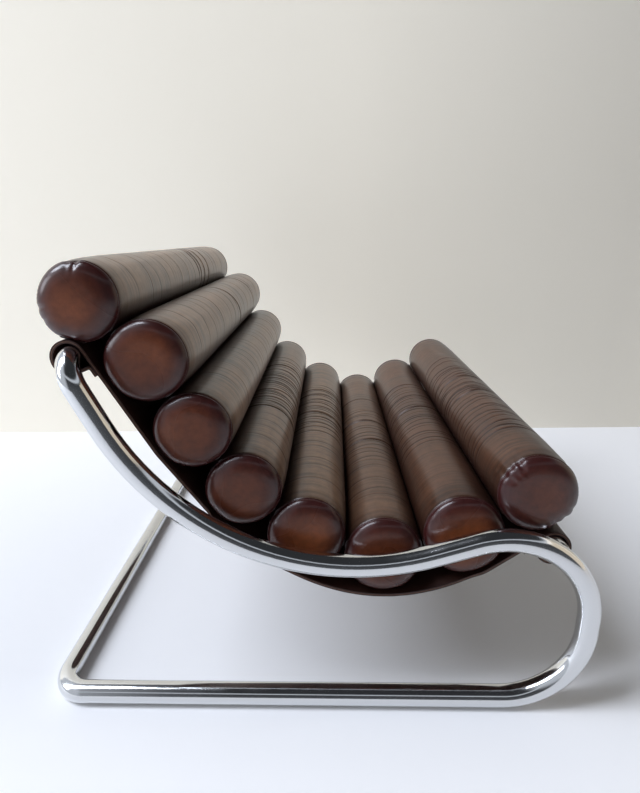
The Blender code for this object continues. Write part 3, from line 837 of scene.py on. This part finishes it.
def refine(piece, levels):
    """Applies a subdivision to a piece."""
    smooth = piece.modifiers.new("fine", "SUBSURF")
    smooth.levels = levels
    smooth.render_levels = levels
    shown = piece.evaluated_get(bpy.context.evaluated_depsgraph_get())
    mesh = bpy.data.meshes.new_from_object(shown)
    piece.modifiers.clear()
    coarse = piece.data
    piece.data = mesh
    mesh.name = coarse.name
    bpy.data.meshes.remove(coarse)


def creases(form, angle, y):
    """Height of the creases across a roll, and how much painted shade each point gets in one."""
    draw = np.random.default_rng(CREASE_SEED + form.number)
    around = form.off_crown(angle)
    sunk, raised, dark = np.zeros_like(y), np.zeros_like(y), np.zeros_like(y)
    for low, high, count, depth, slant in CREASES[form.number]:
        for k in range(count):
            share = low + (high - low) * (k + draw.uniform(*CREASE_PLACE)) / count
            side, half = draw.normal(0, CREASE_OFF_CROWN), math.radians(draw.uniform(*CREASE_REACH))
            deep = depth * draw.uniform(*CREASE_DEEPER)
            width = CREASE_WIDTH + CREASE_SPREAD * deep
            tilt = slant + draw.normal(0, CREASE_TILT)
            wave, phase = draw.uniform(*CREASE_WAVE), draw.uniform(*CREASE_PHASE)
            line = ROLL_HALF * (2 * share - 1) + tilt * around
            off = y - line - wave * np.sin(around * draw.uniform(*CREASE_WAVES) + phase)
            fade = np.clip(1 - ((around - side) / half) ** 2, 0, 1)
            groove = np.exp(-(off / width) ** 2) * fade
            lips = np.exp(-((np.abs(off) - LIP_OFFSET * width) / (LIP_WIDTH * width)) ** 2) * fade
            sunk = np.maximum(sunk, deep * groove)
            raised = np.maximum(raised, LIP_HEIGHT * deep * lips)
            dark = np.maximum(dark, groove * min(1.0, CREASE_SHADE_LEAST + deep / CREASE_BLACK))
    return raised - sunk, dark


def puckers(form, angle):
    """How far the right-hand rim is pulled in by its puckers."""
    pulled = np.zeros_like(angle)
    for centre, half, depth in RIM_PUCKERS.get(form.number, ()):
        off = (angle - math.radians(centre) + math.pi) % (2 * math.pi) - math.pi
        pulled += depth * np.exp(-(off / math.radians(half)) ** 2)
    return pulled


def gathers(form, angle, sign):
    """Small even gathers where the hide is drawn up on the rim's seam."""
    count = round(2 * math.pi * form.radius / GATHER_SPACING)
    # Two slow waves round the rim make them uneven
    swing = 0.6 + 0.4 * np.sin(3 * angle + form.number) * np.sin(5 * angle + 2 * form.number + sign)
    return GATHER_HEIGHT * swing * np.cos(count * angle)


def finish_sleeve(form, piece):
    """Subdivides a stuffed sleeve, then gives it its gathers, puckers and creases, and closes its ends."""
    refine(piece, 2)
    points = read_points(piece.data)
    points[:, 1] = np.clip(points[:, 1], -ROLL_HALF, ROLL_HALF)
    angle, radius = form.polar(points)
    y = points[:, 1]
    limit = form.reach(angle, y) - end_draw(y) * form.give(angle, y)
    radius = np.clip(radius, limit, limit + FREE_SWELL * form.give(angle, y))
    height, dark = creases(form, angle, y)
    from_end = ROLL_HALF - np.abs(y)
    height += np.exp(-from_end / GATHER_RUN) * gathers(form, angle, 1)
    height -= np.where(y < 0, puckers(form, angle) * np.exp(-from_end / PUCKER_RUN), 0)
    height *= np.where(height > 0, form.give(angle, y), 1)
    write_points(piece.data, form.place(angle, radius + height, y))
    # Painted light on the roll's crown, falling to painted shade on its flanks and near its ends
    crown_light = np.clip((CROWN_LIGHT_END - np.abs(form.off_crown(angle))) / CROWN_LIGHT_FADE, 0, 1) ** CROWN_LIGHT_CURVE
    crown_light *= np.interp(from_end, *CROWN_LIGHT_NEAR_END)
    for name, value in (("crease", dark), ("crown_light", crown_light), ("bloom_and_sheen", np.full(len(y), BLOOM_AND_SHEEN[form.number]))):
        piece.data.attributes.new(name, "FLOAT", "POINT").data.foreach_set("value", value.astype(np.float32))
    bm = bmesh.new()
    bm.from_mesh(piece.data)
    inner = grow_rim(bm, [e for e in bm.edges if e.is_boundary])
    for sign, section in ((-1, form.right), (1, form.left)):
        rim = [v for v in inner if v.co.y * sign > 0]
        bmesh.ops.scale(bm, vec=(RIM_CLOSED, 1, RIM_CLOSED), verts=rim,
                        space=Matrix.Translation((-section.centre.x, 0, -section.centre.y)))
        close_rim(bm, rim)
    bmesh.ops.recalc_face_normals(bm, faces=bm.faces)
    bm.to_mesh(piece.data)
    bm.free()
    piece.data.shade_smooth()
    piece.data.set_sharp_from_angle(angle=ROLL_SHARP)
    name = f"roll_{form.number + 1}"
    stand_for(piece, "roll_leather", f"{name}_sleeve", f"{name}_core")


def make_cap(form, side, material):
    """A domed end cap: its edge turned over a welt, gathered at the seam, with a round shoulder."""
    sign = -1 if side == "right" else 1
    bm = bmesh.new()
    rim, middle = bm.verts.new((1, 0, 0)), bm.verts.new((0, 0, 0))
    row = bm.edges.new((rim, middle))
    bmesh.ops.subdivide_edges(bm, edges=[row], cuts=CAP_RINGS_PER_STEP * len(CAP_PROFILE) - 1)
    bmesh.ops.spin(bm, geom=bm.verts[:] + bm.edges[:], cent=(0, 0, 0), axis=(0, 0, 1), angle=2 * math.pi,
                   steps=CAP_SIDES, use_merge=True)
    bmesh.ops.remove_doubles(bm, verts=bm.verts, dist=1e-6)
    piece = as_piece(f"roll_{form.number + 1}_{side}_end", bm, material)
    flat = read_points(piece.data)
    angle = np.arctan2(flat[:, 1], flat[:, 0])
    end = np.full(len(flat), sign * ROLL_HALF)
    reach = form.reach(angle, end)
    step = (1 - np.hypot(flat[:, 0], flat[:, 1])) * len(CAP_PROFILE)
    knots = np.arange(len(CAP_PROFILE) + 1)
    insets, outs = zip(*CAP_PROFILE)
    inset = np.interp(step, knots[:-1], insets)
    inset = inset + np.clip(step - knots[-2], 0, 1) * (reach - inset)
    out = np.interp(step, knots, outs + outs[-1:])
    out = out + CAP_DOME * (1 - ((reach - inset) / reach) ** 2)
    gathered = np.exp(-((inset - SEAM_INSET) / SEAM_WIDTH) ** 2)
    inset = inset - gathered * gathers(form, angle, sign)
    if side == "right":
        pulled = puckers(form, angle)
        out = out - 0.5 * pulled * np.exp(-((inset - PUCKER_INSET) / PUCKER_WIDTH) ** 2)
        inset = inset + pulled * np.exp(-np.maximum(inset - SEAM_INSET, 0) / PUCKER_FADE)
    write_points(piece.data, form.place(angle, reach - inset, end + sign * out))
    # Painted shade: how dark each point of the cap is painted, from its middle to its seam
    shade = 1 - (1 - np.interp(inset, *CAP_SHADE)) * CAP_PALE_MIDDLE[form.number]
    piece.data.attributes.new("rim", "FLOAT", "POINT").data.foreach_set("value", shade.astype(np.float32))
    bm = bmesh.new()
    bm.from_mesh(piece.data)
    bmesh.ops.recalc_face_normals(bm, faces=bm.faces)
    bm.to_mesh(piece.data)
    bm.free()
    piece.data.shade_smooth()
    stand_for(piece, "cap_leather", f"roll_{form.number + 1}_{side}_cap")


def make_rolls():
    """All eight rolls: their sleeves are stuffed together, then each is finished and gets its two caps."""
    forms = [RollForm(number) for number in range(len(ROLLS))]
    press_on_carriers(forms)
    hide, cap_hide = roll_leather(), cap_leather()
    sleeves = sewn_sleeves(forms, hide)
    stuff(forms, sleeves)
    for form, piece in zip(forms, sleeves):
        finish_sleeve(form, piece)
        for side in ("right", "left"):
            make_cap(form, side, cap_hide)


def dress_hidden_nodes():
    """The steel joints inside the bars keep their CAD shape and get their finish."""
    steel = zinc_steel()
    for name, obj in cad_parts.items():
        if name.endswith(("_spigot", "_stub", "_set_screw")):
            obj.data.materials.clear()
            obj.data.materials.append(steel)


def make_stage():
    """A pale floor, and a pale wall a short way behind the chair."""
    floor = Matrix.Translation((0, 0, -FLOOR_GAP))
    upright = Matrix.Rotation(WALL_TURN, 4, "Z") @ Matrix.Rotation(math.pi / 2, 4, "X")
    wall = Matrix.Translation(WALL_MIDDLE) @ upright @ Matrix.Diagonal((1, WALL_HEIGHT / STAGE_SIZE, 1, 1))
    for name, colour, fade, place in (("floor", "#f0f0f1", FLOOR_FADE, floor),
                                      ("wall", "#f1ebdd", WALL_FADE, wall)):
        bm = bmesh.new()
        bmesh.ops.create_grid(bm, x_segments=2, y_segments=2, size=STAGE_SIZE / 2, matrix=place)
        as_piece(f"stage_{name}", bm, stage_material(f"pale_{name}_paint", colour, *fade))


def light(name, place, target, size, power, colour):
    """Hangs a soft lamp that faces its target."""
    lamp = bpy.data.lights.new(name, "AREA")
    lamp.shape = "RECTANGLE"
    lamp.size, lamp.size_y = size
    lamp.energy = power
    lamp.color = linear(colour)[:3]
    obj = bpy.data.objects.new(name, lamp)
    obj.location = place
    obj.rotation_euler = (Vector(target) - Vector(place)).to_track_quat("-Z", "Y").to_euler()
    bpy.context.scene.collection.objects.link(obj)


def make_light():
    """A large window high on the left, a low one beneath it, a warm wall on the right, and a dim cool room."""
    for name, lamp in LAMPS.items():
        light(name, *lamp)
    world = bpy.data.worlds.new("room")
    world.use_nodes = True
    tree = world.node_tree
    facing = add(tree, "SeparateXYZ", {"Vector": add(tree, "TexCoord").outputs["Generated"]})
    fade = add(tree, "MapRange", {"Value": facing.outputs["Y"], "From Min": -0.95, "From Max": 0.0,
                                  "To Min": ROOM_RIGHT, "To Max": ROOM_LEFT}, interpolation_type="SMOOTHSTEP")
    # Mirrored, the room is pale on the window's side and near the floor, dark elsewhere, with a bright line above
    low = add(tree, "MapRange", {"Value": facing.outputs["Z"], "From Max": 0.6,
                                 "To Min": MIRRORED_LOW, "To Max": MIRRORED_HIGH})
    left = add(tree, "MapRange", {"Value": facing.outputs["X"], "From Min": -0.58, "From Max": -0.16,
                                  "To Min": MIRRORED_WINDOW, "To Max": 0.0}, interpolation_type="SMOOTHSTEP")
    rise = add(tree, "MapRange", {"Value": facing.outputs["Z"], "From Min": 0.50, "From Max": 0.54,
                                  "To Max": MIRRORED_LINE})
    fall = add(tree, "MapRange", {"Value": facing.outputs["Z"], "From Min": 0.61, "From Max": 0.66,
                                  "To Min": 1.0, "To Max": 0.0})
    strip = add(tree, "Math", {0: rise.outputs["Result"], 1: fall.outputs["Result"]}, operation="MULTIPLY")
    side = add(tree, "Math", {0: low.outputs["Result"], 1: left.outputs["Result"]}, operation="MAXIMUM")
    mirrored = add(tree, "Math", {0: side.outputs["Value"], 1: strip.outputs["Value"]}, operation="MAXIMUM")
    ray = add(tree, "LightPath").outputs
    sharp = add(tree, "Math", {0: ray["Is Glossy Ray"], 1: ray["Is Transmission Ray"]}, operation="MAXIMUM")
    room = add(tree, "Mix", {"Factor": sharp.outputs["Value"], MIX_LOW: fade.outputs["Result"],
                             MIX_HIGH: mirrored.outputs["Value"]}, data_type="FLOAT")
    backdrop = add(tree, "Math", {0: ray["Is Camera Ray"], 1: BACKDROP}, operation="MULTIPLY")
    level = add(tree, "Math", {0: room.outputs["Result"], 1: backdrop.outputs["Value"]}, operation="MAXIMUM")
    set_inputs(tree.nodes["Background"], {"Color": linear(ROOM_TINT), "Strength": level.outputs["Value"]})
    bpy.context.scene.world = world


def make_camera():
    """A wide lens low beside the chair, square to its right side."""
    lens = bpy.data.cameras.new("camera")
    lens.sensor_fit = "HORIZONTAL"
    lens.sensor_width = SENSOR_WIDTH
    lens.lens = LENS
    lens.shift_y = LENS_SHIFT
    eye = bpy.data.objects.new("camera", lens)
    eye.location = EYE
    eye.rotation_euler = (math.radians(90 - LOOK_DOWN), 0, math.radians(LOOK_LEFT))
    bpy.context.scene.collection.objects.link(eye)
    bpy.context.scene.camera = eye


def main():
    bpy.context.scene.view_settings.view_transform = "Standard"
    make_camera()
    chrome = polished_chrome()
    for side in ("right", "left"):
        side_tube(side, chrome)
    front_bar(chrome)
    make_sling(sling_leather())
    make_rolls()
    dress_hidden_nodes()
    make_stage()
    make_light()


main()
